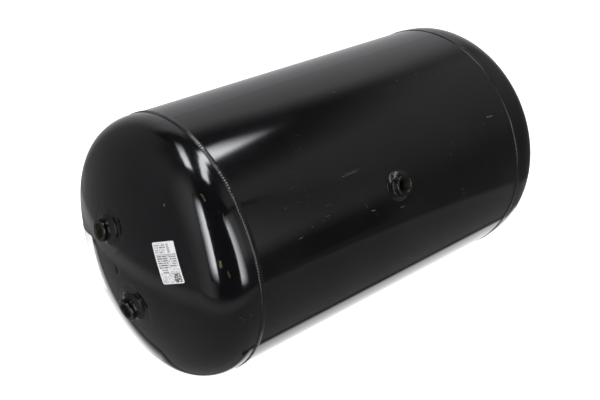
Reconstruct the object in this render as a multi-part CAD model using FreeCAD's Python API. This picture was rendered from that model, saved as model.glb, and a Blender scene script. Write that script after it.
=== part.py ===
import FreeCAD, Part
import os, math

os.makedirs("parts", exist_ok=True)
V = FreeCAD.Vector

# ---------------------------------------------------------------- dimensions (mm)
SHELL_R = 198.0          # outside radius of the shell: a 396 mm tank
WALL = 3.0               # sheet thickness of shell and heads
SEAM_SPAN = 533.4        # between the two girth seams, centre to centre
ROOT_GAP = 3.0           # weld groove between shell end and head shoulder

FLANGE = 11.8            # straight flange of a head, measured from its seam
KNUCKLE_R = 63.4         # outside knuckle radius
CROWN_R = 376.2          # outside crown radius
LIP = 16.0               # joggled lip of the head, reaching into the shell
JOGGLE_A, JOGGLE_B = 5.0, 9.5   # where the inside of the joggle starts and ends

BEAD_W = 8.0             # girth bead width
BEAD_H = 1.5             # girth bead height over the sheet
BEAD_START = 1.3235      # where the bead's run starts, degrees past the top
SEAM_ANGLE = 142.0       # longitudinal seam, degrees from the port side (-Y) upwards
SEAM_W, SEAM_H, SEAM_ROOT = 6.6, 1.0, 2.4

BORE_R = 10.2            # M22x1.5 core radius
MOUTH_R = 11.4           # countersunk mouth of the thread
SPIGOT_R = 15.0
SPIGOT_IN = 7.0          # below the outside of the sheet
HEAD_PORT_H = 13.0       # head port, above the sheet
SIDE_PORT_H = 13.0       # shell port, above the sheet
PORT_UP = (17.0, 55.7)   # y, z of the upper head port from the tank axis
PORT_LOW = (-31.9, -47.7)
SIDE_ANGLE = 22.2        # shell port, degrees from -Y upwards

LABEL_T = 0.25
DATA_LABEL = dict(y=-109.0, z=54.4, w=38.0, l=58.0, tilt=22.8, r=2.5)
SIDE_LABEL = dict(y=115.2, z=-41.5, w=110.0, l=85.0, tilt=-18.2, r=3.0)


def face(pts):
    """closed face from points and (mid, end) arcs"""
    edges, cur = [], V(*pts[0])
    for p in pts[1:]:
        if isinstance(p[0], tuple):
            mid, end = V(*p[0]), V(*p[1])
            edges.append(Part.Arc(cur, mid, end).toShape())
        else:
            end = V(*p)
            edges.append(Part.LineSegment(cur, end).toShape())
        cur = end
    first = V(*pts[0])
    if (cur - first).Length > 1e-6:
        edges.append(Part.LineSegment(cur, first).toShape())
    return Part.Face(Part.Wire(edges))


def spin_x(pts):
    """solid of revolution about the tank axis from (x, r) points"""
    def up(p):
        return tuple((q[0], 0.0, q[1]) for q in p) if isinstance(p[0], tuple) else (p[0], 0.0, p[1])
    return face([up(p) for p in pts]).revolve(V(0, 0, 0), V(1, 0, 0), 360)


def spin_z(pts):
    """solid of revolution about the local port axis from (r, z) points"""
    def up(p):
        return tuple((q[0], 0.0, q[1]) for q in p) if isinstance(p[0], tuple) else (p[0], 0.0, p[1])
    return face([up(p) for p in pts]).revolve(V(0, 0, 0), V(0, 0, 1), 360)


def dish(off):
    """key points of a head surface set `off` inside the outside skin"""
    rk, rc = KNUCKLE_R - off, CROWN_R - off
    ck = SHELL_R - KNUCKLE_R                       # radius at which the knuckle centre runs
    d = math.sqrt((CROWN_R - KNUCKLE_R) ** 2 - ck ** 2)
    xc = FLANGE - d                                # crown centre on the axis
    a = math.atan2(ck, d)                          # tangent angle
    tangent = (FLANGE + rk * math.cos(a), ck + rk * math.sin(a))
    b = (a + math.pi / 2) / 2
    knuckle_mid = (FLANGE + rk * math.cos(b), ck + rk * math.sin(b))
    crown_mid = (xc + rc * math.cos(a / 2), rc * math.sin(a / 2))
    apex = (xc + rc, 0.0)
    return dict(xc=xc, tangent=tangent, kmid=knuckle_mid, cmid=crown_mid, apex=apex, rc=rc)


def shift(p, x0):
    return tuple((q[0] + x0, q[1]) for q in p) if isinstance(p[0], tuple) else (p[0] + x0, p[1])


X0 = SEAM_SPAN / 2
HALF = ROOT_GAP / 2
R_IN = SHELL_R - WALL
OUT, INN = dish(0.0), dish(WALL)

# far head (+X); the near head is its mirror image
head_pts = [(-LIP, R_IN), (HALF, R_IN), (HALF, SHELL_R), (FLANGE, SHELL_R),
            (OUT["kmid"], OUT["tangent"]), (OUT["cmid"], OUT["apex"]),
            INN["apex"], (INN["cmid"], INN["tangent"]), (INN["kmid"], (FLANGE, R_IN)),
            (JOGGLE_B, R_IN), (JOGGLE_A, R_IN - WALL), (-LIP, R_IN - WALL)]
head = spin_x([shift(p, X0) for p in head_pts])


def port_frame(y, z):
    """point on the crown above (y, z) and its outward direction, far head"""
    x = X0 + OUT["xc"] + math.sqrt(CROWN_R ** 2 - y * y - z * z)
    c = V(X0 + OUT["xc"], 0, 0)
    p = V(x, y, z)
    n = p - c
    n.normalize()
    return p, n


def place(shape, p, n):
    s = shape.copy()
    s.Placement = FreeCAD.Placement(p, FreeCAD.Rotation(V(0, 0, 1), n))
    return s


def boss(h, steps):
    """turned port boss: `steps` lists (radius, top) above the spigot"""
    c = 0.8
    pts = [(BORE_R, -SPIGOT_IN), (SPIGOT_R, -SPIGOT_IN), (SPIGOT_R, -2.4)]
    low = -2.4
    for r, top in steps:
        last = top >= h
        pts += [(r - (0.5 if low > 0 else 0.0), low), (r, low + (0.5 if low > 0 else 0.0)),
                (r, top - (1.0 if last else 0.5)), (r - (1.0 if last else 0.5), top)]
        low = top
    pts += [(MOUTH_R, h), (BORE_R, h - (MOUTH_R - BORE_R))]
    out = [pts[0]]
    for p in pts[1:]:
        if math.hypot(p[0] - out[-1][0], p[1] - out[-1][1]) > 1e-6:
            out.append(p)
    return spin_z(out)


def fillet_weld(r0, top, toe):
    w = toe - r0
    return spin_z([(r0, -2.6), (r0, top), ((r0 + 0.45 * w, top * 0.72), (r0 + 0.82 * w, top * 0.26)),
                   (toe, 0.0), (toe + 2.0, -2.6)])


HEAD_STEPS = [(17.0, 5.4), (15.2, 8.0), (16.2, HEAD_PORT_H)]
SIDE_STEPS = [(17.0, 5.4), (14.4, 8.0), (15.4, SIDE_PORT_H)]
head_boss = boss(HEAD_PORT_H, HEAD_STEPS)
side_boss = boss(SIDE_PORT_H, SIDE_STEPS)
head_weld = fillet_weld(17.0, 4.4, 24.4)
side_weld = fillet_weld(17.0, 4.6, 23.4)
hole = Part.makeCylinder(SPIGOT_R, 60, V(0, 0, -30), V(0, 0, 1))

far_ports = {}
for key, (y, z) in (("upper", PORT_UP), ("lower", PORT_LOW)):
    p, n = port_frame(y, z)
    head = head.cut(place(hole, p, n))
    far_ports[key] = (p, n)
ports, welds = {}, {}
for key, (p, n) in far_ports.items():
    b = place(head_boss, p, n).cut(head)
    ports["port_far_" + key] = b
    welds["port_weld_far_" + key] = place(head_weld, p, n).cut(head).cut(b)

# shell: rolled sheet with the slot of its longitudinal seam and the hole of the side port
SHELL_L = SEAM_SPAN - ROOT_GAP
shell = Part.makeCylinder(SHELL_R, SHELL_L, V(-SHELL_L / 2, 0, 0), V(1, 0, 0)).cut(
    Part.makeCylinder(R_IN, SHELL_L, V(-SHELL_L / 2, 0, 0), V(1, 0, 0)))
ring = shell.copy()


def about_axis(s, deg):
    """turn a shape built at the top of the tank to `deg` from -Y upwards"""
    s = s.copy()
    s.rotate(V(0, 0, 0), V(1, 0, 0), 90 - deg)
    return s


slot = about_axis(Part.makeBox(SHELL_L + 2, SEAM_ROOT, 12, V(-SHELL_L / 2 - 1, -SEAM_ROOT / 2, SHELL_R - 8)), SEAM_ANGLE)
seam_fill = ring.common(slot)
shell = shell.cut(slot)
a = math.radians(SIDE_ANGLE)
side_n = V(0, -math.cos(a), math.sin(a))
side_p = side_n * SHELL_R
shell = shell.cut(place(hole, side_p, side_n))
ports["port_shell"] = place(side_boss, side_p, side_n).cut(shell)
welds["port_weld_shell"] = place(side_weld, side_p, side_n).cut(shell).cut(ports["port_shell"])

cap_l = SEAM_SPAN - BEAD_W - 1.4
hw = math.asin(SEAM_W / 2 / SHELL_R)
cap = face([(0, -SHELL_R * math.sin(hw), SHELL_R * math.cos(hw)),
            ((0, 0, SHELL_R + SEAM_H), (0, SHELL_R * math.sin(hw), SHELL_R * math.cos(hw))),
            ((0, 0, SHELL_R), (0, -SHELL_R * math.sin(hw), SHELL_R * math.cos(hw)))])
cap = about_axis(cap.extrude(V(cap_l, 0, 0)), SEAM_ANGLE)
cap.translate(V(-cap_l / 2, 0, 0))
shell_seam = seam_fill.fuse(cap).removeSplitter()

# girth welds: root on the lip, cap over both sheet edges
bead = spin_x([(X0 - HALF, R_IN), (X0 + HALF, R_IN), (X0 + HALF, SHELL_R), (X0 + BEAD_W / 2, SHELL_R),
               ((X0, SHELL_R + BEAD_H), (X0 - BEAD_W / 2, SHELL_R)), (X0 - HALF, SHELL_R)])
bead.rotate(V(0, 0, 0), V(1, 0, 0), BEAD_START)

# labels: thin layer on the head skin, cut out square to the tank axis direction
LAY = dish(-LABEL_T)
skin = spin_x([shift(p, X0) for p in [
    (FLANGE, SHELL_R), (OUT["kmid"], OUT["tangent"]), (OUT["cmid"], OUT["apex"]),
    LAY["apex"], (LAY["cmid"], LAY["tangent"]), (LAY["kmid"], (FLANGE, SHELL_R + LABEL_T))]])


def label(d):
    """rounded rectangle, `w` along its own radius and `l` across it, cut from the near head's skin"""
    w, l, r = d["w"], d["l"], d["r"]
    base = Part.makeBox(w, l, 400, V(-w / 2, -l / 2, 0))
    base = base.makeFillet(r, [e for e in base.Edges
                               if abs(e.Vertexes[0].Z - e.Vertexes[1].Z) > 10])
    y, z = d["y"], d["z"]
    rr = math.hypot(y, z)
    n = V(-math.sqrt(max(CROWN_R ** 2 - rr * rr, 1.0)), y, z)
    n.normalize()
    t = math.radians(d["tilt"])
    side = 1 if y > 0 else -1
    u = V(0, side * math.cos(t), math.sin(t))          # outward along the label's short side
    u = u - n * u.dot(n)
    u.normalize()
    v = n.cross(u)
    # the prism starts behind the skin, on the line through the label's middle
    x_mid = -(X0 + OUT["xc"] + math.sqrt(CROWN_R ** 2 - rr * rr))
    q = V(x_mid, y, z) - n * 60
    m = FreeCAD.Matrix(u.x, v.x, n.x, q.x, u.y, v.y, n.y, q.y, u.z, v.z, n.z, q.z, 0, 0, 0, 1)
    return transformed(base, m)


def transformed(s, m):
    s = s.copy()
    s.Placement = FreeCAD.Placement(m)
    return s


near_skin = skin.mirror(V(0, 0, 0), V(1, 0, 0))
data_label = near_skin.common(label(DATA_LABEL))
side_label = near_skin.common(label(SIDE_LABEL))

nodes = {"shell": shell, "shell_seam": shell_seam,
         "head_far": head, "head_near": head.mirror(V(0, 0, 0), V(1, 0, 0)),
         "girth_weld_far": bead, "girth_weld_near": bead.mirror(V(0, 0, 0), V(1, 0, 0)),
         "data_label": data_label, "side_label": side_label}
for k, s in list(ports.items()) + list(welds.items()):
    nodes[k] = s
    if "_far_" in k:
        nodes[k.replace("_far_", "_near_")] = s.mirror(V(0, 0, 0), V(1, 0, 0))

# origin: middle of the footprint, on the ground under the girth beads
y_min = nodes["port_shell"].optimalBoundingBox(False).YMin
y_max = SHELL_R + BEAD_H
move = V(0, -(y_min + y_max) / 2, SHELL_R + BEAD_H)
print("axis y %.3f z %.3f" % (move.y, move.z), "side reach %.3f" % y_min)
for k, s in nodes.items():
    s = s.copy()
    s.translate(move)
    if s.ShapeType == "Compound" and len(s.Solids) == 1:
        s = s.Solids[0]
    assert s.isValid(), k
    print("%-24s solids %d volume %10.1f mm3  %s" % (k, len(s.Solids), s.Volume, s.ShapeType))
    s.exportStep("parts/%s.step" % k)
print("nodes", len(nodes))
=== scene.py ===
import bpy, bmesh, math
import numpy as np
from mathutils import Vector, Matrix, Euler


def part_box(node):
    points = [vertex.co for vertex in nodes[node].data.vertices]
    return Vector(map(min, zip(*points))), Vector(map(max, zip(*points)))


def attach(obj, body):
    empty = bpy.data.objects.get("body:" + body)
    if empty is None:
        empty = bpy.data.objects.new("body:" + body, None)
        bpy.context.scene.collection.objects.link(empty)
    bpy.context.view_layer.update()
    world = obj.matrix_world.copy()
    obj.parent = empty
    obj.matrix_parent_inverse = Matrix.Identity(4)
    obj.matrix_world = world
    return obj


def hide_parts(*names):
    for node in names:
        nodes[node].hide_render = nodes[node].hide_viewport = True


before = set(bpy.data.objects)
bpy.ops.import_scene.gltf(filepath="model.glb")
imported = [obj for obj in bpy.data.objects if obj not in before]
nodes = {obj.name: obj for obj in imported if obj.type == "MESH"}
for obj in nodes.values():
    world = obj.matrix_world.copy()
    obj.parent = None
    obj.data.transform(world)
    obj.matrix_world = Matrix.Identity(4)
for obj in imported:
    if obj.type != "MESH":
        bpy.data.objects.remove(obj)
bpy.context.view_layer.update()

# ------------------------------------------------------------------ shared numbers (metres)
R = 0.198                      # outside of the shell
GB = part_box("girth_weld_near")
AY, AZ = (GB[0].y + GB[1].y) / 2, 0.1995   # the tank axis in the row frame
X0 = 0.2667                    # girth seams at x = -X0 and +X0
MM = 0.001
rng = np.random.RandomState(11)


def noise1(n, period, seed, octaves=3):
    """smooth closed noise over n samples, about `period` bumps a turn, -1..1"""
    r = np.random.RandomState(seed)
    t = np.arange(n) / n * 2 * math.pi
    out = np.zeros(n)
    amp = 1.0
    for o in range(octaves):
        for k in range(5):
            f = max(1, int(round(period * 2 ** o * (0.55 + 0.3 * k))))
            out += amp * r.uniform(0.4, 1) * np.sin(f * t + r.uniform(0, 6.28))
        amp *= 0.5
    return out / np.abs(out).max()


def new_obj(name, verts, faces, mat, smooth=True):
    me = bpy.data.meshes.new(name)
    me.from_pydata([tuple(v) for v in verts], [], faces)
    me.validate()
    me.update()
    if smooth:
        me.polygons.foreach_set("use_smooth", [True] * len(me.polygons))
    ob = bpy.data.objects.new(name, me)
    bpy.context.scene.collection.objects.link(ob)
    if mat is not None:
        me.materials.append(mat)
    return ob


def grid_faces(n, m, wrap_n=False, wrap_m=False, flip=False):
    """quads of an n x m grid of points, row major"""
    f = []
    for i in range(n if wrap_n else n - 1):
        i2 = (i + 1) % n
        for j in range(m if wrap_m else m - 1):
            j2 = (j + 1) % m
            q = (i * m + j, i2 * m + j, i2 * m + j2, i * m + j2)
            f.append(q[::-1] if flip else q)
    return f


# ------------------------------------------------------------------ materials
class NT:
    """small helper round one node tree"""

    def __init__(self, name):
        self.mat = bpy.data.materials.new(name)
        self.mat.use_nodes = True
        self.t = self.mat.node_tree
        self.t.nodes.clear()
        self.out = self.t.nodes.new("ShaderNodeOutputMaterial")
        self.tc = self.t.nodes.new("ShaderNodeTexCoord")

    def node(self, kind, **kw):
        n = self.t.nodes.new(kind)
        for k, v in kw.items():
            setattr(n, k, v)
        return n

    def link(self, a, b):
        self.t.links.new(a, b)

    def put(self, sock, v):
        if isinstance(v, bpy.types.NodeSocket):
            self.link(v, sock)
        else:
            sock.default_value = v

    def math(self, op, a, b=None, c=None, clamp=False):
        n = self.node("ShaderNodeMath", operation=op)
        n.use_clamp = clamp
        self.put(n.inputs[0], a)
        if b is not None:
            self.put(n.inputs[1], b)
        if c is not None:
            self.put(n.inputs[2], c)
        return n.outputs[0]

    def noise(self, scale, detail=3.0, rough=0.55, vec=None, lac=2.0, dist=0.0):
        n = self.node("ShaderNodeTexNoise")
        n.inputs["Scale"].default_value = scale
        n.inputs["Detail"].default_value = detail
        n.inputs["Roughness"].default_value = rough
        n.inputs["Lacunarity"].default_value = lac
        n.inputs["Distortion"].default_value = dist
        self.link(vec if vec is not None else self.tc.outputs["Object"], n.inputs["Vector"])
        return n.outputs["Fac"]

    def voronoi(self, scale, feature="F1", vec=None, rand=1.0):
        n = self.node("ShaderNodeTexVoronoi", feature=feature)
        n.inputs["Scale"].default_value = scale
        n.inputs["Randomness"].default_value = rand
        self.link(vec if vec is not None else self.tc.outputs["Object"], n.inputs["Vector"])
        return n

    def ramp(self, v, lo, hi, a=0.0, b=1.0, smooth=True):
        n = self.node("ShaderNodeMapRange")
        n.interpolation_type = "SMOOTHSTEP" if smooth else "LINEAR"
        self.put(n.inputs["Value"], v)
        n.inputs["From Min"].default_value = lo
        n.inputs["From Max"].default_value = hi
        n.inputs["To Min"].default_value = a
        n.inputs["To Max"].default_value = b
        return n.outputs["Result"]

    def mix(self, fac, a, b):
        n = self.node("ShaderNodeMix", data_type="RGBA")
        self.put(n.inputs["Factor"], fac)
        for s, v in ((n.inputs[6], a), (n.inputs[7], b)):
            if isinstance(v, bpy.types.NodeSocket):
                self.link(v, s)
            else:
                s.default_value = (*v, 1.0)
        return n.outputs[2]

    def bump(self, height, strength, distance, normal=None):
        n = self.node("ShaderNodeBump")
        n.inputs["Strength"].default_value = strength
        n.inputs["Distance"].default_value = distance
        self.link(height, n.inputs["Height"])
        if normal is not None:
            self.link(normal, n.inputs["Normal"])
        return n.outputs["Normal"]

    def principled(self):
        n = self.node("ShaderNodeBsdfPrincipled")
        self.link(n.outputs[0], self.out.inputs["Surface"])
        return n


def black_paint(name, base=(0.0034, 0.0034, 0.0040), rough=0.085, peel=0.35, peel_scale=260.0,
                dust=1.0, scuffs=1.0, specks=1.0, marks=(), pulls=()):
    """black gloss enamel over steel: orange peel, faint dust film, hairline rubs, odd overspray grains"""
    n = NT(name)
    p = n.principled()
    obj = n.tc.outputs["Object"]
    # film of dust and handling: broad soft patches, and a fine grain inside them
    film = n.ramp(n.noise(7.0, 5.0, 0.62), 0.42, 0.78)
    grain = n.ramp(n.noise(900.0, 2.0, 0.6), 0.45, 0.75)
    haze = n.math("MULTIPLY", film, n.math("ADD", n.math("MULTIPLY", grain, 0.5), 0.5))
    # hairline rubs: stretched noise seen only where a second mask lets it
    mp = n.node("ShaderNodeMapping")
    mp.inputs["Rotation"].default_value = (0.6, 0.25, 0.9)
    mp.inputs["Scale"].default_value = (1.0, 14.0, 3.0)
    n.link(obj, mp.inputs["Vector"])
    hair = n.ramp(n.noise(85.0, 2.0, 0.5, vec=mp.outputs["Vector"]), 0.665, 0.70)
    where = n.ramp(n.noise(11.0, 2.0, 0.5), 0.60, 0.66)
    rub = n.math("MULTIPLY", hair, where)
    # small light grains settled in the paint
    v = n.voronoi(95.0)
    rnd = n.node("ShaderNodeSeparateColor")
    n.link(v.outputs["Color"], rnd.inputs["Color"])
    size = n.ramp(rnd.outputs["Red"], 0.80, 1.0, 0.0, 0.085, smooth=False)
    dot = n.math("LESS_THAN", v.outputs["Distance"], size)
    v2 = n.voronoi(420.0)
    rnd2 = n.node("ShaderNodeSeparateColor")
    n.link(v2.outputs["Color"], rnd2.inputs["Color"])
    size2 = n.ramp(rnd2.outputs["Green"], 0.86, 1.0, 0.0, 0.14, smooth=False)
    dot2 = n.math("LESS_THAN", v2.outputs["Distance"], size2)
    dots = n.math("MAXIMUM", dot, n.math("MULTIPLY", dot2, 0.5), clamp=True)

    deep = n.mix(n.ramp(n.noise(3.2, 3.0, 0.5), 0.3, 0.7), base, tuple(c * 1.22 for c in base))
    dusty = n.mix(n.math("MULTIPLY", haze, 0.022 * dust), deep, (0.26, 0.26, 0.27))
    rubbed = n.mix(n.math("MULTIPLY", rub, 0.10 * scuffs), dusty, (0.36, 0.36, 0.37))
    col = n.mix(n.math("MULTIPLY", dots, 0.20 * specks), rubbed, (0.42, 0.39, 0.30))
    hit = None
    for a, b, wide, tint, much in marks:          # single marks: a short stroke from a to b, wide in mm, mixed into the colour with its tint: grey knocks and rubs, and yellow-green spots on the heads
        a, b = Vector(a), Vector(b)
        d = b - a
        pa = n.node("ShaderNodeVectorMath", operation="SUBTRACT")
        n.link(obj, pa.inputs[0])
        pa.inputs[1].default_value = a
        dt = n.node("ShaderNodeVectorMath", operation="DOT_PRODUCT")
        n.link(pa.outputs[0], dt.inputs[0])
        dt.inputs[1].default_value = d / max(d.length_squared, 1e-12)
        tt = n.math("MULTIPLY", dt.outputs["Value"], 1.0, clamp=True)
        sc = n.node("ShaderNodeVectorMath", operation="SCALE")
        sc.inputs[0].default_value = d
        n.link(tt, sc.inputs["Scale"])
        away = n.node("ShaderNodeVectorMath", operation="DISTANCE")
        n.link(pa.outputs[0], away.inputs[0])
        n.link(sc.outputs[0], away.inputs[1])
        m = n.ramp(away.outputs["Value"], 0.35 * wide * MM, wide * MM, 1.0, 0.0)
        m = n.math("MULTIPLY", m, n.ramp(n.noise(1100.0, 2.0, 0.55), 0.46, 0.56))
        m = n.math("MULTIPLY", m, much)
        col = n.mix(m, col, tint)
        hit = m if hit is None else n.math("MAXIMUM", hit, m)
    n.link(col, p.inputs["Base Color"])

    r = n.math("ADD", n.math("MULTIPLY", haze, 0.05 * dust), rough)
    if hit is not None:
        r = n.math("ADD", r, n.math("MULTIPLY", hit, 0.35))
    r = n.math("ADD", r, n.math("MULTIPLY", rub, 0.16 * scuffs))
    r = n.math("ADD", r, n.math("MULTIPLY", dots, 0.30 * specks))
    n.link(r, p.inputs["Roughness"])
    p.inputs["IOR"].default_value = 1.5
    p.inputs["Coat Weight"].default_value = 0.0

    # long, low waves from rolling and spinning, then the peel of the sprayed coat
    wave = n.bump(n.noise(16.0, 2.0, 0.5), 0.10, 0.0006)
    pl = n.bump(n.noise(peel_scale, 2.0, 0.5), peel * 0.12, 0.0002, wave)
    for c, r_in, r_out, deep_mm in pulls:         # the sheet drawn in by the welds: a shallow ring round each boss
        ds = n.node("ShaderNodeVectorMath", operation="DISTANCE")
        n.link(obj, ds.inputs[0])
        ds.inputs[1].default_value = c
        up_ = n.ramp(ds.outputs["Value"], r_in * MM, (r_in + r_out) / 2 * MM, 0.0, 1.0)
        dn_ = n.ramp(ds.outputs["Value"], (r_in + r_out) / 2 * MM, r_out * MM, 1.0, 0.0)
        pl = n.bump(n.math("MULTIPLY", up_, dn_), 1.0, -deep_mm * MM, pl)
    gr = n.bump(dots, 0.25 * specks, 0.0001, pl)
    n.link(gr, p.inputs["Normal"])
    return n.mat


SHELL_MARKS = [
    ((-0.0949, -0.1619, 0.3122), (-0.0665, -0.1621, 0.312), 0.5, (0.42, 0.42, 0.42), 0.4),
    ((-0.0882, -0.1607, 0.3142), (-0.0577, -0.161, 0.3134), 0.35, (0.42, 0.42, 0.42), 0.25),
    ((0.2167, -0.1619, 0.3121), (0.2281, -0.1628, 0.3108), 1.5, (0.42, 0.42, 0.42), 0.4),
    ((-0.1933, -0.1869, 0.2627), (-0.1879, -0.1867, 0.2635), 0.8, (0.42, 0.42, 0.42), 0.45),
    ((-0.0608, -0.1887, 0.2567), (-0.0551, -0.189, 0.2563), 1.0, (0.42, 0.42, 0.42), 0.5),
    ((-0.0205, -0.0604, 0.3876), (-0.0178, -0.0619, 0.3874), 0.8, (0.42, 0.42, 0.42), 0.5),
    ((-0.0047, -0.1922, 0.2439), (0.0015, -0.1922, 0.2432), 1.0, (0.42, 0.42, 0.42), 0.4),
    ((-0.0704, -0.1838, 0.2711), (-0.0672, -0.1868, 0.2632), 0.5, (0.42, 0.42, 0.42), 0.22),
]
# yellow-green spots and a few grey knocks put into the heads' paint colour at listed points
HEAD_MARKS = [
    ((-0.3032, -0.1276, 0.3433), (-0.3039, -0.1324, 0.3383), 1.6, (0.24, 0.25, 0.09), 0.45),
    ((-0.3042, -0.1249, 0.3454), (-0.3038, -0.1283, 0.3423), 0.8, (0.30, 0.30, 0.10), 0.5),
    ((-0.3135, -0.172, 0.2715), (-0.3142, -0.1744, 0.264), 2.2, (0.24, 0.25, 0.09), 0.60),
    ((-0.3082, -0.1807, 0.257), (-0.3073, -0.1832, 0.2502), 1.8, (0.24, 0.25, 0.09), 0.30),
    ((-0.2912, -0.1523, 0.3231), (-0.2931, -0.1565, 0.3169), 0.8, (0.30, 0.30, 0.10), 0.35),
    ((-0.3379, -0.089, 0.3283), (-0.3382, -0.0902, 0.326), 1.0, (0.42, 0.42, 0.42), 0.45),
    ((-0.3207, -0.1596, 0.2851), (-0.3216, -0.1623, 0.2778), 0.5, (0.42, 0.42, 0.42), 0.2),
]
M_SHELL = black_paint("shell_paint_gloss", marks=SHELL_MARKS)
PULLS = [((sx_ * 0.3679, y_ + AY, z_ + AZ), 28.0, 41.0, 0.30)
         for sx_ in (-1, 1) for y_, z_ in ((0.0170, 0.0557), (-0.0319, -0.0477))]
M_HEAD = black_paint("head_paint_gloss", peel=0.45, peel_scale=230.0, marks=HEAD_MARKS, pulls=PULLS)
M_WELD = black_paint("weld_paint_gloss", rough=0.11, peel=0.5, peel_scale=420.0, dust=0.5, scuffs=0.5)
M_PORT = black_paint("port_paint_gloss", rough=0.10, peel=0.4, peel_scale=380.0, dust=0.4)


def thread_paint(name):
    """bore and thread: masked when painted, so oiled bare steel with a bronze tint of preservative; its colour is
    darkened almost to black as painted shade inside the hole
    """
    n = NT(name)
    p = n.principled()
    c = n.ramp(n.noise(160.0, 4.0, 0.6), 0.35, 0.7)
    # painted shade: a near-black base colour for the shade in the bore, with the bronze tint kept
    n.link(n.mix(c, (0.007, 0.007, 0.005), (0.028, 0.027, 0.013)), p.inputs["Base Color"])
    p.inputs["IOR"].default_value = 1.25
    n.link(n.math("ADD", n.math("MULTIPLY", n.noise(500.0, 2.0, 0.5), 0.16), 0.52), p.inputs["Roughness"])
    n.link(n.bump(n.noise(1500.0, 2.0, 0.5), 0.2, 0.00008), p.inputs["Normal"])
    return n.mat


M_BORE = thread_paint("bore_steel")
M_LABEL = None


def dish_consts():
    rk, rc = 0.0634, 0.3762
    ck = R - rk
    d = math.sqrt((rc - rk) ** 2 - ck ** 2)
    return rk, rc, 0.0118 - d          # crown centre is X0 + this on the axis


RK, RC, XC = dish_consts()


def place(P, origin, x, y, z):
    """local (n,3) points to the row frame through the axes x, y, z"""
    P = np.asarray(P)
    return (np.asarray(origin)[None, :] + P[:, 0:1] * np.asarray(x)[None, :]
            + P[:, 1:2] * np.asarray(y)[None, :] + P[:, 2:3] * np.asarray(z)[None, :])


def axes_for(n):
    n = np.asarray(n, float)
    n = n / np.linalg.norm(n)
    a = np.array([0, 0, 1.0]) if abs(n[2]) < 0.9 else np.array([1.0, 0, 0])
    x = np.cross(a, n); x /= np.linalg.norm(x)
    return x, np.cross(n, x), n


# ------------------------------------------------------------------ girth welds
def girth_bead(name, node, xc, seed):
    """rippled cap weld round the tank at x = xc"""
    nt, ns = 1880, 19
    t = np.arange(nt) / nt * 2 * math.pi
    wander = noise1(nt, 9, seed) * 0.30 * MM
    width = (4.0 + 0.28 * noise1(nt, 23, seed + 1)) * MM
    high = (1.16 + 0.13 * noise1(nt, 31, seed + 2)) * MM
    pitch = 4.1 * MM
    turns = round(2 * math.pi * R / pitch)
    jit = noise1(nt, 60, seed + 3) * 1.3
    s = np.linspace(-1, 1, ns)
    S, T = np.meshgrid(s, t)
    cap = (1 - np.abs(S) ** 3.2) ** 0.8
    ph = turns * T + jit[:, None] - 1.5 * (1 - S ** 2)
    rip = 0.5 + 0.5 * np.cos(ph)
    rip = rip ** 0.7
    # some stretches were laid hot and run smooth, others are coarse
    coarse = (0.55 + 0.45 * noise1(nt, 7, seed + 5))[:, None]
    swell = (1 + 0.22 * noise1(nt, 14, seed + 6))[:, None]
    h = high[:, None] * 0.74 * swell * cap + (rip - 0.5) * (0.22 + 0.46 * coarse) * MM * cap ** 0.8
    # stop and restart of the run, with a shallow crater
    at = (t - (5.15 if xc < 0 else 1.2) + math.pi) % (2 * math.pi) - math.pi
    crater = np.exp(-(at / 0.010) ** 2)[:, None] * np.exp(-(S / 0.6) ** 2)
    h = h + 0.35 * MM * np.exp(-((at + 0.022) / 0.02) ** 2)[:, None] * cap - 0.75 * MM * crater
    h = np.clip(h, -0.4 * MM, 1.485 * MM)
    h[:, 0] = h[:, -1] = -0.25 * MM
    x = xc + wander[:, None] + S * width[:, None]
    r = R + h
    # close the ring underneath, inside the sheet
    x = np.concatenate([x, (xc + 3.0 * MM) * np.ones((nt, 1)), (xc - 3.0 * MM) * np.ones((nt, 1))], 1)
    r = np.concatenate([r, (R - 1.6 * MM) * np.ones((nt, 2))], 1)
    # x runs -..+, then back: columns already go round the section
    th = t[:, None]
    P = np.stack([x, AY - r * np.cos(th), AZ + r * np.sin(th)], -1).reshape(-1, 3)
    ob = new_obj(name, P, grid_faces(nt, x.shape[1], True, True), M_WELD)
    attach(ob, "root")
    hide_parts(node)
    return ob


girth_bead("girth_bead_near", "girth_weld_near", -X0, 3)
girth_bead("girth_bead_far", "girth_weld_far", X0, 17)


def long_seam():
    """rippled flat weld along the rolled shell"""
    L = 0.5334 - 0.0080 - 0.0014
    nl, ns = 760, 15
    u = np.linspace(-L / 2, L / 2, nl)
    s = np.linspace(-1, 1, ns)
    S, U = np.meshgrid(s, u)
    wand = noise1(nl, 6, 41)[:, None] * 0.25 * MM
    w = (3.3 + 0.2 * noise1(nl, 21, 42))[:, None] * MM
    cap = (1 - S ** 2) ** 0.6
    ph = 2 * math.pi * U / (1.9 * MM) + 2.0 * (1 - S ** 2) + noise1(nl, 40, 43)[:, None] * 0.6
    h = (0.78 * MM + 0.1 * MM * noise1(nl, 30, 44)[:, None]) * cap + (0.5 + 0.5 * np.cos(ph)) ** 0.8 * 0.17 * MM * cap
    h = np.clip(h, 0, 0.99 * MM)
    h[:, 0] = h[:, -1] = -0.25 * MM
    ang = math.radians(142.0) + (wand + S * w) / R
    r = R + h
    ang = np.concatenate([ang, ang[:, -1:] - 0.4 * MM / R, ang[:, :1] + 0.4 * MM / R], 1)
    r = np.concatenate([r, (R - 1.4 * MM) * np.ones((nl, 2))], 1)
    x = np.repeat(u[:, None], r.shape[1], 1)
    P = np.stack([x, AY - r * np.cos(ang), AZ + r * np.sin(ang)], -1).reshape(-1, 3)
    m = r.shape[1]
    f = grid_faces(nl, m, False, True, flip=True)
    f.append(tuple(range(m)))
    f.append(tuple(reversed(range((nl - 1) * m, nl * m))))
    ob = new_obj("shell_seam_bead", P, f, M_WELD)
    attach(ob, "root")
    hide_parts("shell_seam")


long_seam()


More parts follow.
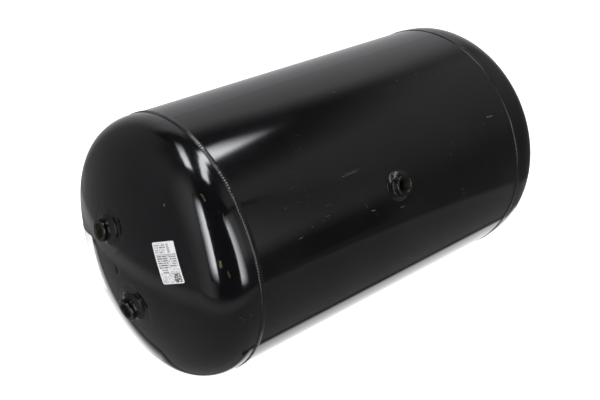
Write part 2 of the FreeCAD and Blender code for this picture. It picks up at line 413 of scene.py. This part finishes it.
# ------------------------------------------------------------------ ports
def head_port_frame(sign, y, z):
    """centre on the skin and outward direction of a head port, sign -1 near, +1 far (row frame)"""
    xc = X0 + XC
    x = xc + math.sqrt(RC ** 2 - y * y - z * z)
    n = np.array([(x - xc) * sign, y, z]); n /= np.linalg.norm(n)
    return np.array([x * sign, y + AY, z + AZ]), n


def lathe(profile, n_seg, origin, n, wob=None):
    """closed ring surface from an (r, z) profile that is itself a closed loop"""
    ax, ay, an = axes_for(n)
    pr = np.asarray(profile)
    t = np.arange(n_seg) / n_seg * 2 * math.pi
    rr = np.repeat(pr[None, :, 0], n_seg, 0)
    zz = np.repeat(pr[None, :, 1], n_seg, 0)
    if wob is not None:
        rr, zz = wob(rr, zz, t)
    P = np.stack([rr * np.cos(t)[:, None], rr * np.sin(t)[:, None], zz], -1).reshape(-1, 3)
    return place(P, origin, ax, ay, an), grid_faces(n_seg, len(pr), True, True)


def arc(c, r, a0, a1, n):
    a = np.radians(np.linspace(a0, a1, n))
    return [(c[0] + r * math.cos(x), c[1] + r * math.sin(x)) for x in a]


def port_body(name, node, origin, n, steps, h, seed):
    """turned boss with eased steps and a cut thread in its bore"""
    out = []
    low = -2.4
    k = 0.5
    for i, (r, top) in enumerate(steps):
        last = i == len(steps) - 1
        nxt = steps[i + 1][0] if not last else None
        if i == 0:
            out += [(r, -2.4)]
        else:
            pr = steps[i - 1][0]
            if r < pr:                                   # inner corner with a small root radius
                out += arc((r + k, low + k), k, 270, 180, 5)
            else:                                        # step out: eased lower edge
                out += arc((r - k, low + k), k, -90, 0, 6)
        if last:
            out += arc((r - 1.0, top - 1.0), 1.0, 0, 90, 8)
        elif nxt < r:
            out += arc((r - 0.6, top - 0.6), 0.6, 0, 90, 6)
        else:
            out += arc((r + k, top - k), k, 180, 90, 5)
        low = top
    out += [(13.6, h), (12.6, h), (11.9, h)]
    out += [(11.4, h - 0.05), (10.9, h - 0.55), (10.2, h - 1.2)]
    prof = [(a * MM, b * MM) for a, b in out]
    # outside skin, drawn as a closed loop with an inner return under the thread
    body = [(15.0 * MM, -7.0 * MM), (15.0 * MM, -2.4 * MM)] + prof
    back = [(11.25 * MM, (h - 1.9) * MM), (11.6 * MM, (h - 2.6) * MM), (11.6 * MM, -6.4 * MM), (11.2 * MM, -7.0 * MM)]
    P, f = lathe(body + back, 160, origin, n)
    ob = new_obj(name, P, f, M_PORT)
    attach(ob, "root")
    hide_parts(node)
    # thread M22x1.5 as a helical groove
    pitch, seg, per = 1.5, 96, 8
    z0, z1 = -6.9, h - 1.15
    rows = int((z1 - z0) / pitch * per)
    zz = np.linspace(z0, z1, rows)
    t = np.arange(seg) / seg * 2 * math.pi
    Z, T = np.meshgrid(zz, t)
    ph = (Z / pitch - T / (2 * math.pi)) % 1.0
    tri = np.clip(1.25 - np.abs(ph - 0.5) * 4.0 * 0.82, 0, 1)      # truncated vee
    fade = np.clip((z1 - Z) / 1.0, 0, 1) * np.clip((Z - z0) / 1.0, 0, 1)
    rr = 10.2 + 0.80 * tri * fade
    ax, ay, an = axes_for(n)
    inner = np.stack([rr * np.cos(T), rr * np.sin(T), Z], -1)
    outer_r = np.full((seg, 2), 11.3)
    oz = np.stack([np.full(seg, z1 - 0.2), np.full(seg, z0 + 0.2)], 1)
    To = np.repeat(t[:, None], 2, 1)
    outer = np.stack([outer_r * np.cos(To), outer_r * np.sin(To), oz], -1)
    G = np.concatenate([inner, outer], 1)
    m = G.shape[1]
    P = place(G.reshape(-1, 3) * MM, origin, ax, ay, an)
    th = new_obj(name + "_thread", P, grid_faces(seg, m, True, True, flip=True), M_BORE)
    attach(th, "root")
    return ob


def ring_weld(name, node, origin, n, r0, top, toe, base_z, seed):
    """rippled fillet round a boss; base_z(x, y) is the sheet surface in the port's own frame"""
    nt, ns = 300, 15
    t = np.arange(nt) / nt * 2 * math.pi
    r = np.random.RandomState(seed)
    toe_t = (toe + 0.30 * noise1(nt, 5, seed)) * MM
    top_t = (top + 0.22 * noise1(nt, 6, seed + 1)) * MM
    circ = 2 * math.pi * (r0 + toe) / 2
    turns = round(circ / 2.2)
    s = np.linspace(0, 1, ns)
    S, T = np.meshgrid(s, t)
    jit = noise1(nt, 14, seed + 2)[:, None] * 0.5
    # quarter-hollow section from the boss wall (s=0) down to the toe (s=1)
    rr = r0 * MM + (toe_t[:, None] - r0 * MM) * (S ** 1.08)
    zz = top_t[:, None] * (1 - S) ** 1.35
    bulge = np.sin(math.pi * S) ** 0.9
    ph = turns * T + jit + 2.0 * bulge
    rip = (0.5 + 0.5 * np.cos(ph)) ** 0.7
    off = bulge * (0.42 * MM + (rip - 0.55) * 0.36 * MM)
    at = (t - r.uniform(3.4, 4.4) + math.pi) % (2 * math.pi) - math.pi
    off += 0.35 * MM * np.exp(-((at + 0.16) / 0.10) ** 2)[:, None] * bulge
    off -= 0.55 * MM * np.exp(-(at / 0.07) ** 2)[:, None] * bulge
    rr = rr + off * 0.60
    zz = zz + off * 0.80
    ax, ay, an = axes_for(n)
    X, Y = rr * np.cos(T), rr * np.sin(T)
    bz = base_z(X, Y, ax, ay)
    zz = zz + bz
    zz[:, -1] = bz[:, -1] - 0.25 * MM
    # underside, inside the sheet and the boss
    X2 = np.stack([(toe - 0.6) * MM * np.cos(t), (r0 - 0.4) * MM * np.cos(t)], 1)
    Y2 = np.stack([(toe - 0.6) * MM * np.sin(t), (r0 - 0.4) * MM * np.sin(t)], 1)
    Z2 = base_z(X2, Y2, ax, ay) - 1.4 * MM
    Z3 = np.stack([Z2[:, 0], Z2[:, 1]], 1)
    # and the top edge tucked into the boss wall
    X4 = (r0 - 0.4) * MM * np.cos(t)[:, None]
    Y4 = (r0 - 0.4) * MM * np.sin(t)[:, None]
    Z4 = top_t[:, None] - 0.2 * MM
    X = np.concatenate([X, X2, X4], 1); Y = np.concatenate([Y, Y2, Y4], 1); Zf = np.concatenate([zz, Z3, Z4], 1)
    G = np.stack([X, Y, Zf], -1)
    P = place(G.reshape(-1, 3), origin, ax, ay, an)
    ob = new_obj(name, P, grid_faces(nt, G.shape[1], True, True), M_WELD)
    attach(ob, "root")
    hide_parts(node)
    return ob


def on_crown(X, Y, ax, ay):
    return np.sqrt(RC ** 2 - X ** 2 - Y ** 2) - RC


def on_shell(X, Y, ax, ay):
    # the shell bends only across its axis (X in the row frame)
    d = (X * (ax[1] ** 2 + ax[2] ** 2) ** 0.5 * np.sign(ax[1] ** 2 + ax[2] ** 2)
         + 0 * Y)
    px = X * ax[0] + Y * ay[0]
    side = np.sqrt(np.maximum(X ** 2 + Y ** 2 - px ** 2, 0))
    return np.sqrt(R ** 2 - side ** 2) - R


HEAD_STEPS = [(17.0, 5.4), (15.2, 8.0), (16.2, 13.0)]
SIDE_STEPS = [(17.0, 5.4), (14.4, 8.0), (15.4, 13.0)]
UP, LOW = (0.0170, 0.0557), (-0.0319, -0.0477)
for tag, sign in (("near", -1), ("far", 1)):
    for key, (y, z) in (("upper", UP), ("lower", LOW)):
        o, n = head_port_frame(sign, y, z)
        sd = {"near": 100, "far": 140}[tag] + {"upper": 0, "lower": 20}[key]
        port_body(f"boss_{tag}_{key}", f"port_{tag}_{key}", o, n, HEAD_STEPS, 13.0, sd)
        ring_weld(f"boss_weld_{tag}_{key}", f"port_weld_{tag}_{key}", o, n, 17.0, 4.4, 24.4, on_crown, sd + 5)
a = math.radians(22.2)
side_n = np.array([0, -math.cos(a), math.sin(a)])
side_o = side_n * R + np.array([0, AY, AZ])
port_body("boss_shell", "port_shell", side_o, side_n, SIDE_STEPS, 13.0, 180)
ring_weld("boss_weld_shell", "port_weld_shell", side_o, side_n, 17.0, 4.6, 23.4, on_shell, 190)


# ------------------------------------------------------------------ labels
def label_axes(y, z, tilt):
    """middle on the near head's skin and the label's own axes: u outward along the head, v across it"""
    rr = math.hypot(y, z)
    n = np.array([-math.sqrt(max(RC ** 2 - rr * rr, 1e-6)), y, z]); n /= np.linalg.norm(n)
    t = math.radians(tilt)
    side = 1 if y > 0 else -1
    u = np.array([0, side * math.cos(t), math.sin(t)])
    u = u - n * u.dot(n); u /= np.linalg.norm(u)
    v = np.cross(n, u)
    x_mid = -(X0 + XC + math.sqrt(RC ** 2 - rr * rr))
    return np.array([x_mid, y + AY, z + AZ]), u, v, n


def label_film(name, o, u, v, marks, white=(0.80, 0.80, 0.79)):
    """white printed vinyl. marks, in mm in the label's own axes: (kind, u0, u1, v0, v1, darkness, du, dv, fill)"""
    n = NT(name)
    p = n.principled()
    pos = n.tc.outputs["Object"]

    def dot(axis):
        d = n.node("ShaderNodeVectorMath", operation="DOT_PRODUCT")
        n.link(pos, d.inputs[0])
        d.inputs[1].default_value = tuple(float(c) * 1000 for c in axis)
        return n.math("SUBTRACT", d.outputs["Value"], float(np.dot(o, axis)) * 1000)

    U, Vv = dot(u), dot(v)
    ink = None
    for kind, u0, u1, v0, v1, dark, du, dv, fill in marks:
        au = n.math("COMPARE", U, (u0 + u1) / 2, abs(u1 - u0) / 2)
        av = n.math("COMPARE", Vv, (v0 + v1) / 2, abs(v1 - v0) / 2)
        m = n.math("MULTIPLY", au, av)
        if kind in ("rows", "cells"):
            cu = n.math("DIVIDE", n.math("SUBTRACT", U, u0), du)
            cv = n.math("DIVIDE", n.math("SUBTRACT", Vv, v0), dv)
            xy = n.node("ShaderNodeCombineXYZ")
            n.link(n.math("FLOOR", cu), xy.inputs[0])
            n.link(n.math("FLOOR", cv), xy.inputs[1])
            xy.inputs[2].default_value = u0 * 0.37 + v0
            wn = n.node("ShaderNodeTexWhiteNoise", noise_dimensions="3D")
            n.link(xy.outputs[0], wn.inputs["Vector"])
            m = n.math("MULTIPLY", m, n.math("LESS_THAN", wn.outputs["Value"], fill))
            if kind == "rows":          # a run of short strokes with white between the rows
                m = n.math("MULTIPLY", m, n.math("LESS_THAN", n.math("FRACT", cv), 0.64))
                m = n.math("MULTIPLY", m, n.math("LESS_THAN", n.math("FRACT", cu), 0.80))
        m = n.math("MULTIPLY", m, dark)
        ink = m if ink is None else n.math("MAXIMUM", ink, m)
    stain = n.ramp(n.noise(30.0, 4.0, 0.6), 0.45, 0.8, 0.0, 0.12)
    film = n.mix(stain, white, (0.60, 0.58, 0.54))
    n.link(n.mix(ink, film, (0.030, 0.030, 0.036)), p.inputs["Base Color"])
    n.link(n.math("ADD", n.math("MULTIPLY", n.noise(60.0, 2.0, 0.5), 0.12), 0.30), p.inputs["Roughness"])
    p.inputs["IOR"].default_value = 1.46
    n.link(n.bump(n.noise(120.0, 3.0, 0.5), 0.10, 0.0002), p.inputs["Normal"])
    return n.mat


o1, u1, v1, n1 = label_axes(-0.109, 0.0544, 22.8)
M_LAB1 = label_film("data_label_film", o1, u1, v1, [
    ("rows", -16.5, 3.0, 20.5, 27.0, 1.0, 1.0, 3.1, 0.80),
    ("rows", -16.5, 1.0, 14.0, 19.5, 0.85, 1.0, 3.1, 0.70),
    ("rows", 5.0, 9.4, 14.0, 26.5, 0.96, 1.2, 2.6, 0.86),
    ("line", -17.5, 17.5, 11.4, 12.2, 0.80, 0, 0, 0),
    ("rows", 3.6, 17.0, 7.6, 10.8, 0.92, 0.9, 2.4, 0.92),
    ("rows", -16.5, 1.4, -7.0, 10.4, 1.0, 1.0, 3.1, 0.88),
    ("rows", 3.6, 17.0, -5.0, 6.6, 0.88, 1.0, 3.1, 0.76),
    ("line", 2.2, 2.9, -27.0, 12.0, 0.70, 0, 0, 0),
    ("rows", -14.0, -1.5, -13.5, -7.6, 0.80, 1.0, 3.1, 0.66),
    ("rows", -17.0, -8.0, -27.4, -14.8, 0.74, 1.2, 1.8, 0.76),
    ("rows", -6.0, 1.0, -27.4, -14.8, 0.66, 1.2, 1.8, 0.76),
    ("line", -17.5, 17.5, -14.4, -13.7, 0.66, 0, 0, 0),
    ("rows", 3.6, 17.0, -13.0, -6.0, 0.60, 1.0, 3.1, 0.60),
    ("cells", 4.2, 16.7, -27.4, -14.9, 0.97, 1.04, 1.04, 0.70),
], white=(0.70, 0.70, 0.71))
o2, u2, v2, n2 = label_axes(0.1152, -0.0415, -18.2)
# painted light: the side label's film is given a whiter colour than the data label's, for the brighter look it has
# where it sits
M_LAB2 = label_film("side_label_film", o2, u2, v2, [
    ("rows", -12.0, 44.0, 24.0, 36.0, 0.60, 1.6, 4.2, 0.70),
    ("line", -53.0, -52.4, -36.0, 34.0, 0.22, 0, 0, 0),
    ("rows", -47.0, -42.0, 33.0, 36.5, 0.35, 0.8, 1.4, 0.75),
    ("line", -12.0, 50.5, 20.0, 20.7, 0.60, 0, 0, 0),
    ("rows", -12.0, 36.0, -8.0, 17.0, 0.50, 1.4, 3.6, 0.68),
    ("line", -12.0, 50.5, -10.7, -10.0, 0.50, 0, 0, 0),
    ("rows", -12.0, 44.0, -37.0, -14.0, 0.46, 1.4, 3.6, 0.60),
], white=(0.86, 0.86, 0.86))


def give(node, mat):
    me = nodes[node].data
    me.materials.clear()
    me.materials.append(mat)


give("shell", M_SHELL)
give("head_near", M_HEAD)
give("head_far", M_HEAD)
give("data_label", M_LAB1)
give("side_label", M_LAB2)


# ------------------------------------------------------------------ studio
def glow(name, strength, color=(1, 1, 1), soft=None, tail=None):
    """light of a softbox; soft = fade widths at its four sides (u0, u1, v0, v1) as parts of the box"""
    m = bpy.data.materials.new(name)
    m.use_nodes = True
    t = m.node_tree
    t.nodes.clear()
    e = t.nodes.new("ShaderNodeEmission")
    e.inputs["Color"].default_value = (*color, 1)
    e.inputs["Strength"].default_value = strength
    o = t.nodes.new("ShaderNodeOutputMaterial")
    t.links.new(e.outputs[0], o.inputs["Surface"])
    if soft is None:
        return m
    uv = t.nodes.new("ShaderNodeTexCoord")
    sx = t.nodes.new("ShaderNodeSeparateXYZ")
    t.links.new(uv.outputs["UV"], sx.inputs[0])
    last = None
    for k, wdt in enumerate(soft):
        if wdt <= 0:
            continue
        mr = t.nodes.new("ShaderNodeMapRange")
        mr.interpolation_type = "SMOOTHSTEP"
        t.links.new(sx.outputs["X" if k < 2 else "Y"], mr.inputs["Value"])
        lo, hi = (0.0, wdt) if k % 2 == 0 else (1.0, 1.0 - wdt)
        mr.inputs["From Min"].default_value = min(lo, hi)
        mr.inputs["From Max"].default_value = max(lo, hi)
        mr.inputs["To Min"].default_value = 0.0 if lo < hi else 1.0
        mr.inputs["To Max"].default_value = 1.0 if lo < hi else 0.0
        if last is None:
            last = mr.outputs["Result"]
        else:
            mu = t.nodes.new("ShaderNodeMath")
            mu.operation = "MULTIPLY"
            t.links.new(last, mu.inputs[0])
            t.links.new(mr.outputs["Result"], mu.inputs[1])
            last = mu.outputs[0]
    mu = t.nodes.new("ShaderNodeMath")
    mu.operation = "MULTIPLY"
    mu.inputs[1].default_value = strength
    t.links.new(last, mu.inputs[0])
    last = mu.outputs[0]
    if tail is not None:              # weaker light beside the lamp: level, and where along u it has gone
        level, u_a, u_b, rest = tail
        cut = t.nodes.new("ShaderNodeMapRange")
        cut.interpolation_type = "SMOOTHSTEP"
        t.links.new(sx.outputs["X"], cut.inputs["Value"])
        for key, val in (("From Min", 0.05), ("From Max", 0.52), ("To Min", 1.0), ("To Max", 0.0)):
            cut.inputs[key].default_value = val
        mc = t.nodes.new("ShaderNodeMath")
        mc.operation = "MULTIPLY"
        t.links.new(last, mc.inputs[0])
        t.links.new(cut.outputs["Result"], mc.inputs[1])
        last = mc.outputs[0]
        mr = t.nodes.new("ShaderNodeMapRange")
        mr.interpolation_type = "SMOOTHSTEP"
        t.links.new(sx.outputs["X"], mr.inputs["Value"])
        for key, val in (("From Min", u_a), ("From Max", u_b), ("To Min", level), ("To Max", level * rest)):
            mr.inputs[key].default_value = val
        side = mr.outputs["Result"]
        for f0, f1, t0, t1 in ((0.19, 0.42, 0.12, 1.0), (0.84, 1.0, 1.0, 0.0)):     # gone near the floor and at the top
            mv = t.nodes.new("ShaderNodeMapRange")
            mv.interpolation_type = "SMOOTHSTEP"
            t.links.new(sx.outputs["Y"], mv.inputs["Value"])
            for key, val in (("From Min", f0), ("From Max", f1), ("To Min", t0), ("To Max", t1)):
                mv.inputs[key].default_value = val
            mt = t.nodes.new("ShaderNodeMath")
            mt.operation = "MULTIPLY"
            t.links.new(side, mt.inputs[0])
            t.links.new(mv.outputs["Result"], mt.inputs[1])
            side = mt.outputs[0]
        hi = t.nodes.new("ShaderNodeMath")
        hi.operation = "MAXIMUM"
        t.links.new(last, hi.inputs[0])
        t.links.new(side, hi.inputs[1])
        last = hi.outputs[0]
    t.links.new(last, e.inputs["Strength"])
    return m


def panel(name, corners, strength, color=(1, 1, 1), soft=None, tail=None):
    """emitting sheet seen in the gloss only: softboxes, and painted reflections of the floor under the tank and of its
    contact shadow; the soft lamps below do the plain lighting
    """
    ob = new_obj(name, corners, [(0, 1, 2, 3)], glow(name + "_light", strength, color, soft, tail), smooth=False)
    uv = ob.data.uv_layers.new(name="box")
    for i, c in enumerate(((0, 0), (1, 0), (1, 1), (0, 1))):
        uv.data[i].uv = c
    ob.visible_camera = False
    ob.visible_diffuse = False
    ob.visible_shadow = False
    return ob


C0 = Vector((0, 0, AZ))


def wall(name, az0, az1, el0, el1, dist, strength, color=(1, 1, 1), lean=0.0, soft=None, tail=None):
    """upright panel covering that piece of the surroundings, as seen from the tank"""
    a = math.radians((az0 + az1) / 2)
    half = dist * math.tan(math.radians(az1 - az0) / 2)
    fwd = Vector((math.sin(a), -math.cos(a), 0))
    rt = Vector((math.cos(a), math.sin(a), 0))
    z0, z1 = (C0.z + dist * math.tan(math.radians(e)) for e in (el0, el1))
    base = fwd * dist
    up = Vector((0, 0, 1))
    lean = rt * lean
    return panel(name, [base - rt * half + up * z0, base + rt * half + up * z0,
                        base + rt * half + up * z1 + lean, base - rt * half + up * z1 + lean], strength, color, soft, tail)


def strip(name, cx, cy, length, width, turn, h, strength, color=(1, 1, 1), soft=None):
    """overhead strip box, its long side at `turn` degrees from +X"""
    c, s_ = math.cos(math.radians(turn)), math.sin(math.radians(turn))
    pts = [Vector((cx + c * x - s_ * y, cy + s_ * x + c * y, h)) for x, y in
           ((-length / 2, -width / 2), (length / 2, -width / 2), (length / 2, width / 2), (-length / 2, width / 2))]
    return panel(name, pts, strength, color, soft)


COOL = (0.96, 0.98, 1.0)
wall("softbox_left", -65, -47.0, -14, 53, 12.0, 16.0, COOL, soft=(0.85, 0.06, 0.16, 0.40))
wall("softbox_right", 0.5, 40, -17, 41, 12.0, 10.0, COOL, soft=(0.03, 0.02, 0.14, 0.22), tail=(0.95, 0.46, 0.96, 0.28))
strip("strip_left", -0.155, 0.222, 1.11, 0.34, 53, 2.0, 15.0, COOL, soft=(0.10, 0.80, 0.30, 0.25))
strip("strip_right", 0.408, -0.22, 1.37, 0.38, 45, 2.0, 14.0, COOL, soft=(0.12, 0.25, 0.30, 0.25))
# painted reflection: emitting sheets seen only in the gloss, standing for a bright floor under and behind the tank,
# which itself is hidden from the gloss
panel("painted_floor_reflection_front", [(-0.235, -0.176, -0.0003), (0.48, -0.176, -0.0003), (0.48, 0.0, -0.0003), (-0.362, 0.0, -0.0003)],
      1.42, soft=(0.055, 0.05, 0.092, 0))
# painted shadow: a dim sheet seen only in the gloss, standing for the contact shadow along the bottom of the tank
panel("contact_shadow", [(-0.25, -0.197, -0.0004), (0.40, -0.197, -0.0004), (0.40, -0.173, -0.0004), (-0.25, -0.173, -0.0004)],
      0.22, soft=(0.02, 0.02, 0, 0.85))
panel("painted_floor_reflection_back", [(-0.362, 0.0, -0.0003), (0.48, 0.0, -0.0003), (0.48, 0.45, -0.0003), (-0.435, 0.45, -0.0003)],
      1.50, soft=(0.050, 0.05, 0, 0.12))


def painted_table_reflection():
    """painted reflection: an emitting disc seen only in the gloss, standing for a round white table under the tank as
    the paint mirrors it; its light is painted on, dim in the middle, with a brighter rim where the lamps would catch it
    """
    seg, cx, cy, rad = 128, -0.05, 0.0, 0.77
    t = np.arange(seg) / seg * 2 * math.pi
    v = [(cx + rad * math.cos(a), cy + rad * math.sin(a), -0.0006) for a in t]
    m = bpy.data.materials.new("painted_table_reflection_light")
    m.use_nodes = True
    nt_ = m.node_tree
    nt_.nodes.clear()
    tc = nt_.nodes.new("ShaderNodeTexCoord")
    ds = nt_.nodes.new("ShaderNodeVectorMath"); ds.operation = "DISTANCE"
    nt_.links.new(tc.outputs["Object"], ds.inputs[0])
    ds.inputs[1].default_value = (cx, cy, -0.0006)
    sp = nt_.nodes.new("ShaderNodeSeparateXYZ")
    nt_.links.new(tc.outputs["Object"], sp.inputs[0])

    def rng_(val, f0, f1, t0, t1):
        r_ = nt_.nodes.new("ShaderNodeMapRange"); r_.interpolation_type = "SMOOTHSTEP"
        nt_.links.new(val, r_.inputs["Value"])
        for key, x_ in (("From Min", f0), ("From Max", f1), ("To Min", t0), ("To Max", t1)):
            if isinstance(x_, bpy.types.NodeSocket):
                nt_.links.new(x_, r_.inputs[key])
            else:
                r_.inputs[key].default_value = x_
        return r_.outputs["Result"]

    # painted light on the disc: brighter at the rim, dimmer beyond it, all weaker towards +x
    rim = rng_(sp.outputs["X"], -0.45, 0.10, 0.45, 0.26)
    out_ = rng_(sp.outputs["X"], -0.45, 0.10, 0.19, 0.09)
    lev = rng_(ds.outputs["Value"], 0.55, 0.64, 0.225, rim)
    lev2 = rng_(ds.outputs["Value"], 0.67, 0.76, lev, out_)
    e = nt_.nodes.new("ShaderNodeEmission")
    nt_.links.new(lev2, e.inputs["Strength"])
    o = nt_.nodes.new("ShaderNodeOutputMaterial")
    nt_.links.new(e.outputs[0], o.inputs["Surface"])
    ob = new_obj("painted_table_reflection", v, [tuple(range(seg))], m, smooth=False)
    ob.visible_camera = False
    ob.visible_diffuse = False
    ob.visible_shadow = False


painted_table_reflection()

# plain floor, as seen directly
fl = new_obj("floor", [(-30, -30, -0.0006), (30, -30, -0.0006), (30, 30, -0.0006), (-30, 30, -0.0006)], [(0, 1, 2, 3)], None, smooth=False)
nf = NT("floor_white")
pf = nf.principled()
nf.link(nf.mix(nf.ramp(nf.noise(2.0, 2.0, 0.5), 0.3, 0.7), (0.78, 0.78, 0.78), (0.80, 0.80, 0.80)), pf.inputs["Base Color"])
pf.inputs["Roughness"].default_value = 0.9
pf.inputs["Specular IOR Level"].default_value = 0.0
pf.inputs["Emission Color"].default_value = (1, 1, 1, 1)
pf.inputs["Emission Strength"].default_value = 0.88
fl.data.materials.append(nf.mat)
fl.visible_glossy = False
fl.visible_diffuse = True
fl.visible_shadow = False


# white sweep behind the floor, for the eye only
t_ = np.arange(48) / 48 * 2 * math.pi
bk = new_obj("backdrop", [(25 * math.cos(q), 25 * math.sin(q), z) for z in (-0.5, 40.0) for q in t_] + [(0, 0, 40.0)],
             [(i, (i + 1) % 48, 48 + (i + 1) % 48, 48 + i) for i in range(48)]
             + [(48 + i, 48 + (i + 1) % 48, 96) for i in range(48)], glow("backdrop_light", 1.0), smooth=False)
bk.visible_glossy = False
bk.visible_diffuse = False
bk.visible_shadow = False


def lamp(name, loc, aim, size, power):
    d = bpy.data.lights.new(name, "AREA")
    d.shape = "RECTANGLE"
    d.size, d.size_y = size
    d.energy = power
    ob = bpy.data.objects.new(name, d)
    bpy.context.scene.collection.objects.link(ob)
    ob.location = loc
    ob.rotation_euler = (Vector(aim) - Vector(loc)).to_track_quat("-Z", "Y").to_euler()
    ob.visible_glossy = False
    ob.visible_camera = False
    return ob


lamp("lamp_top", (0.1, 0.1, 2.4), (0, 0, 0.2), (2.2, 2.2), 26.0)
lamp("lamp_left", (-2.2, -1.1, 1.0), (0, 0, 0.2), (1.0, 1.6), 16.0)
lamp("lamp_right", (0.3, -2.4, 1.0), (0, 0, 0.2), (1.0, 1.6), 10.0)
lamp("lamp_back", (1.4, 2.2, 1.2), (0, 0, 0.2), (1.6, 1.6), 10.0)
lamp("lamp_low", (-2.1, 1.3, 0.5), (-0.3, 0.1, 0.15), (1.4, 0.9), 12.0)

# the room: soft grey walls all round, black behind the camera and over the strips
w = bpy.data.worlds.new("studio")
bpy.context.scene.world = w
w.use_nodes = True
wt = w.node_tree
wt.nodes.clear()


def wnode(kind, **kw):
    n_ = wt.nodes.new(kind)
    for k, v in kw.items():
        setattr(n_, k, v)
    return n_


def wmath(op, a_, b_=None, clamp=False):
    n_ = wnode("ShaderNodeMath", operation=op)
    n_.use_clamp = clamp
    for i, q in enumerate((a_, b_)):
        if q is None:
            continue
        if isinstance(q, bpy.types.NodeSocket):
            wt.links.new(q, n_.inputs[i])
        else:
            n_.inputs[i].default_value = q
    return n_.outputs[0]


def wstep(v_, lo_, hi_, a_=0.0, b_=1.0):
    n_ = wnode("ShaderNodeMapRange", interpolation_type="SMOOTHSTEP")
    wt.links.new(v_, n_.inputs["Value"])
    for k, q in (("From Min", lo_), ("From Max", hi_), ("To Min", a_), ("To Max", b_)):
        n_.inputs[k].default_value = q
    return n_.outputs["Result"]


wtc = wnode("ShaderNodeTexCoord")
sep = wnode("ShaderNodeSeparateXYZ")
wt.links.new(wtc.outputs["Generated"], sep.inputs[0])
DEG = 180 / math.pi
waz = wmath("MULTIPLY", wmath("ARCTAN2", sep.outputs["X"], wmath("MULTIPLY", sep.outputs["Y"], -1.0)), DEG)
wel = wmath("MULTIPLY", wmath("ARCSINE", sep.outputs["Z"]), DEG)
# brightness round the room: left and back walls, the dark side towards the camera, right wall
left = wmath("MULTIPLY", wstep(waz, -70, -46, 1.0, 0.0), wstep(waz, -108, -70, 0.19, 0.62))
left = wmath("MULTIPLY", left, wstep(wel, -2, 32, 1.0, 1.35))
left = wmath("MULTIPLY", left, wstep(wel, 44, 76, 1.0, 0.12))
right = wmath("MULTIPLY", wstep(waz, 28, 34, 0.0, 1.0), wstep(waz, 104, 126, 0.25, 0.66))
right = wmath("MULTIPLY", right, wstep(waz, 150, 180, 1.0, 0.36))
climb = wmath("MULTIPLY", wmath("SUBTRACT", wstep(wel, -6, 46, 0.38, 1.5), 1.0), wstep(waz, 95, 110, 1.0, 0.0))
right = wmath("MULTIPLY", right, wmath("ADD", climb, 1.0))
bent = wmath("ADD", wel, wstep(waz, 78, 114, -4.0, 0.0))
right = wmath("MULTIPLY", right, wstep(bent, 40, 53, 1.0, 0.04))
near_dark = wmath("MULTIPLY", wstep(waz, -46, -40, 0.0, 1.0), 0.014)
tot = wmath("ADD", wmath("ADD", left, right), near_dark)
bg = wnode("ShaderNodeBackground")
wt.links.new(tot, bg.inputs["Strength"])
bg.inputs["Color"].default_value = (0.97, 0.97, 1.0, 1)
wo = wnode("ShaderNodeOutputWorld")
wt.links.new(bg.outputs[0], wo.inputs["Surface"])

# ------------------------------------------------------------------ camera
az, el, yaw, pit = -0.7215, 0.4889, 0.0175, 0.0151
f_px, dist = 910.46, 7.4706 * R
back = np.array([math.sin(az) * math.cos(el), -math.cos(az) * math.cos(el), math.sin(el)])
zf = -back
xr = np.cross(zf, [0, 0, 1.0]); xr /= np.linalg.norm(xr)
yd = np.cross(zf, xr)


def Rx(a):
    c, s = math.cos(a), math.sin(a)
    return np.array([[1, 0, 0], [0, c, -s], [0, s, c]])


def Ry(a):
    c, s = math.cos(a), math.sin(a)
    return np.array([[c, 0, s], [0, 1, 0], [-s, 0, c]])


Rm = Ry(yaw) @ Rx(pit) @ np.stack([xr, yd, zf])
cam = bpy.data.objects.new("camera", bpy.data.cameras.new("camera"))
bpy.context.scene.collection.objects.link(cam)
cam.data.sensor_width = 36.0
cam.data.lens = f_px * 36.0 / 600.0
loc = back * dist + np.array([0, AY, AZ])
m = Matrix.Identity(4)
for i in range(3):
    m[i][0], m[i][1], m[i][2], m[i][3] = Rm[0][i], -Rm[1][i], -Rm[2][i], loc[i]
cam.matrix_world = m
cam.data.clip_start, cam.data.clip_end = 0.01, 100
bpy.context.scene.camera = cam
sc = bpy.context.scene
sc.view_settings.view_transform = "Standard"
sc.view_settings.look = "None"
sc.view_settings.exposure = 0.0
sc.view_settings.gamma = 1.0

bpy.context.view_layer.update()
